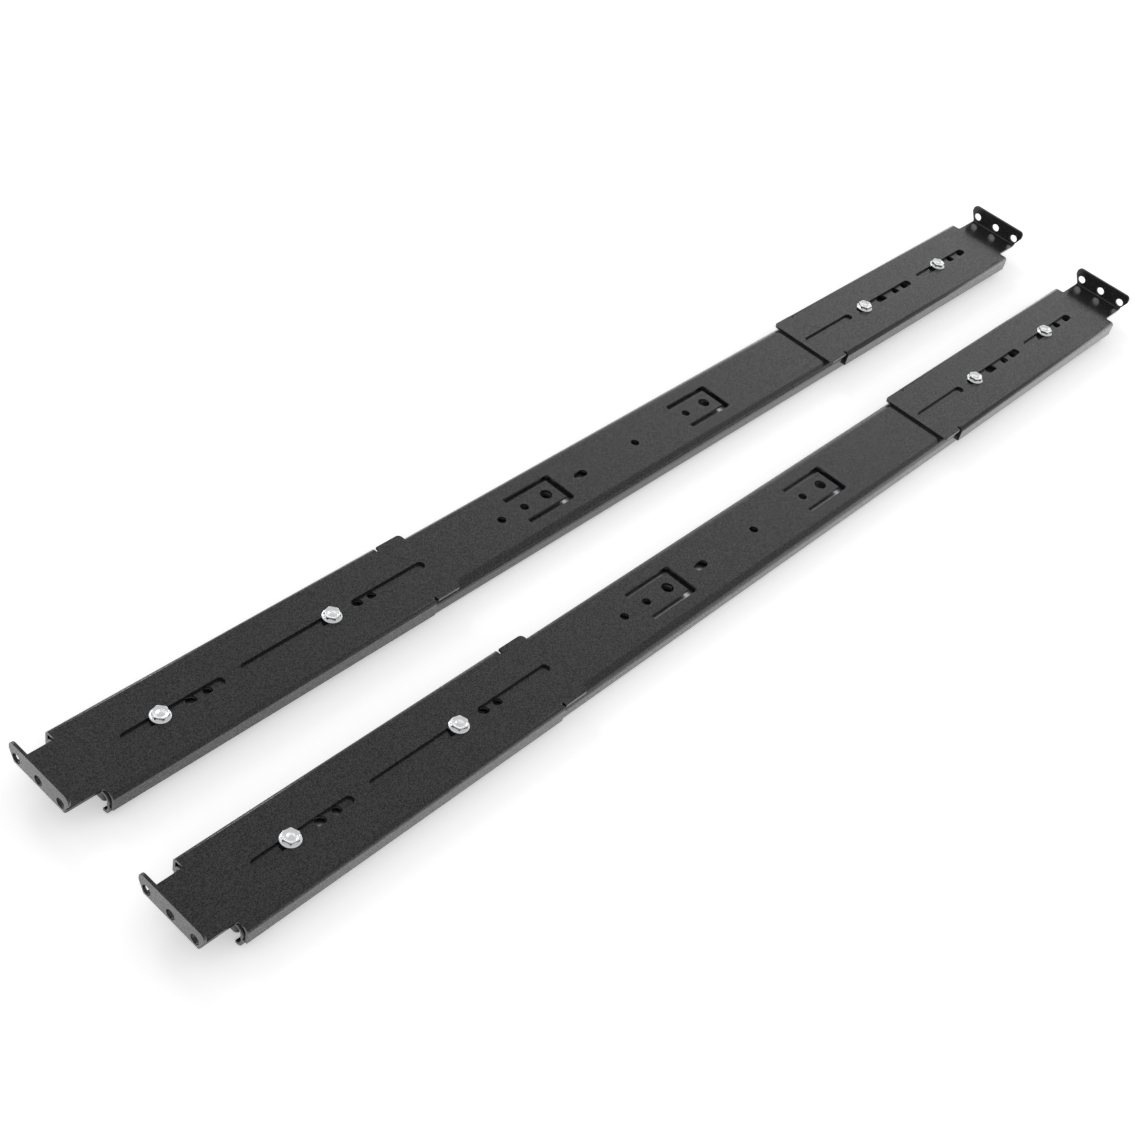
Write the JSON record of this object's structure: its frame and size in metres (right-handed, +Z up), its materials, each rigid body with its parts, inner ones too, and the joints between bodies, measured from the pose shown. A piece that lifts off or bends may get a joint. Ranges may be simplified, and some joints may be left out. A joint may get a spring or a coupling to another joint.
{
  "type": "sliding server rail pair",
  "caption": "Pair of three-section ball-bearing server rails with slotted, adjustable end brackets and three-hole rack ears, lying side by side.",
  "frame": {"origin": "centre of the pair's footprint, on the surface it lies on", "axes": "+X runs along the rails to their rear ends, +Y goes from the right rail to the left one, +Z is up, away from the chassis members"},
  "size_m": [0.823, 0.1406, 0.0266],
  "materials": {
    "black_powder_coat": "semi-matte black powder coat with fine texture",
    "zinc_plate": "bright zinc-plated rolled steel",
    "screw_zinc": "bright zinc-plated screws",
    "cage_steel": "thin zinc-plated strip",
    "black_acetal": "black moulded plastic",
    "black_rubber": "black rubber"
  },
  "bodies": {
    "cabinet_members": {"left_outer_member": "black_powder_coat", "left_front_bracket_screws": "screw_zinc", "left_rear_bracket_screws": "screw_zinc", "left_rear_bumper": "black_rubber", "right_outer_member": "black_powder_coat", "right_front_bracket_screws": "screw_zinc", "right_rear_bracket_screws": "screw_zinc", "right_rear_bumper": "black_rubber"},
    "left_middle": {"left_middle_member": "zinc_plate"},
    "left_inner": {"left_inner_member": "zinc_plate", "left_nose": "black_acetal", "left_lever_rivet": "zinc_plate"},
    "left_lever": {"left_release_lever": "cage_steel"},
    "left_outer_cages": {"left_outer_ball_cage_inboard": "cage_steel", "left_outer_ball_cage_outboard": "cage_steel"},
    "left_inner_cages": {"left_inner_ball_cage_inboard": "cage_steel", "left_inner_ball_cage_outboard": "cage_steel"},
    "left_front_end": {"left_front_bracket": "black_powder_coat"},
    "left_rear_end": {"left_rear_bracket": "black_powder_coat"},
    "right_middle": {"right_middle_member": "zinc_plate"},
    "right_inner": {"right_inner_member": "zinc_plate", "right_nose": "black_acetal", "right_lever_rivet": "zinc_plate"},
    "right_lever": {"right_release_lever": "cage_steel"},
    "right_outer_cages": {"right_outer_ball_cage_inboard": "cage_steel", "right_outer_ball_cage_outboard": "cage_steel"},
    "right_inner_cages": {"right_inner_ball_cage_inboard": "cage_steel", "right_inner_ball_cage_outboard": "cage_steel"},
    "right_front_end": {"right_front_bracket": "black_powder_coat"},
    "right_rear_end": {"right_rear_bracket": "black_powder_coat"}
  },
  "joints": [
    {"name": "left_middle_slide", "type": "slide", "parent": "cabinet_members", "child": "left_middle", "axis": [-1, 0, 0], "range_m": [0, 0.38]},
    {"name": "left_inner_slide", "type": "slide", "parent": "left_middle", "child": "left_inner", "axis": [-1, 0, 0], "range_m": [0, 0.38]},
    {"name": "left_outer_cage_slide", "type": "slide", "parent": "cabinet_members", "child": "left_outer_cages", "axis": [-1, 0, 0], "range_m": [0, 0.19]},
    {"name": "left_inner_cage_slide", "type": "slide", "parent": "left_middle", "child": "left_inner_cages", "axis": [-1, 0, 0], "range_m": [0, 0.19]},
    {"name": "left_front_bracket_slide", "type": "slide", "parent": "cabinet_members", "child": "left_front_end", "axis": [1, 0, 0], "range_m": [-0.0023, 0.0195]},
    {"name": "left_rear_bracket_slide", "type": "slide", "parent": "cabinet_members", "child": "left_rear_end", "axis": [1, 0, 0], "range_m": [-0.032, 0.0043]},
    {"name": "left_lever_pivot", "type": "hinge", "parent": "left_inner", "child": "left_lever", "pos_m": [0.0405, 0.0455, 0.0024], "axis": [0, 0, 1], "range_deg": [-4, 4], "stiffness_Nm_per_rad": 0.3},
    {"name": "right_middle_slide", "type": "slide", "parent": "cabinet_members", "child": "right_middle", "axis": [-1, 0, 0], "range_m": [0, 0.38]},
    {"name": "right_inner_slide", "type": "slide", "parent": "right_middle", "child": "right_inner", "axis": [-1, 0, 0], "range_m": [0, 0.38]},
    {"name": "right_outer_cage_slide", "type": "slide", "parent": "cabinet_members", "child": "right_outer_cages", "axis": [-1, 0, 0], "range_m": [0, 0.19]},
    {"name": "right_inner_cage_slide", "type": "slide", "parent": "right_middle", "child": "right_inner_cages", "axis": [-1, 0, 0], "range_m": [0, 0.19]},
    {"name": "right_front_bracket_slide", "type": "slide", "parent": "cabinet_members", "child": "right_front_end", "axis": [1, 0, 0], "range_m": [-0.0023, 0.0195]},
    {"name": "right_rear_bracket_slide", "type": "slide", "parent": "cabinet_members", "child": "right_rear_end", "axis": [1, 0, 0], "range_m": [-0.032, 0.0043]},
    {"name": "right_lever_pivot", "type": "hinge", "parent": "right_inner", "child": "right_lever", "pos_m": [0.0405, -0.0455, 0.0024], "axis": [0, 0, 1], "range_deg": [-4, 4], "stiffness_Nm_per_rad": 0.3}
  ],
  "couplings": [
    {"joint": "left_outer_cage_slide", "follows": "left_middle_slide", "ratio": 0.5},
    {"joint": "left_inner_cage_slide", "follows": "left_inner_slide", "ratio": 0.5},
    {"joint": "right_outer_cage_slide", "follows": "right_middle_slide", "ratio": 0.5},
    {"joint": "right_inner_cage_slide", "follows": "right_inner_slide", "ratio": 0.5}
  ]
}
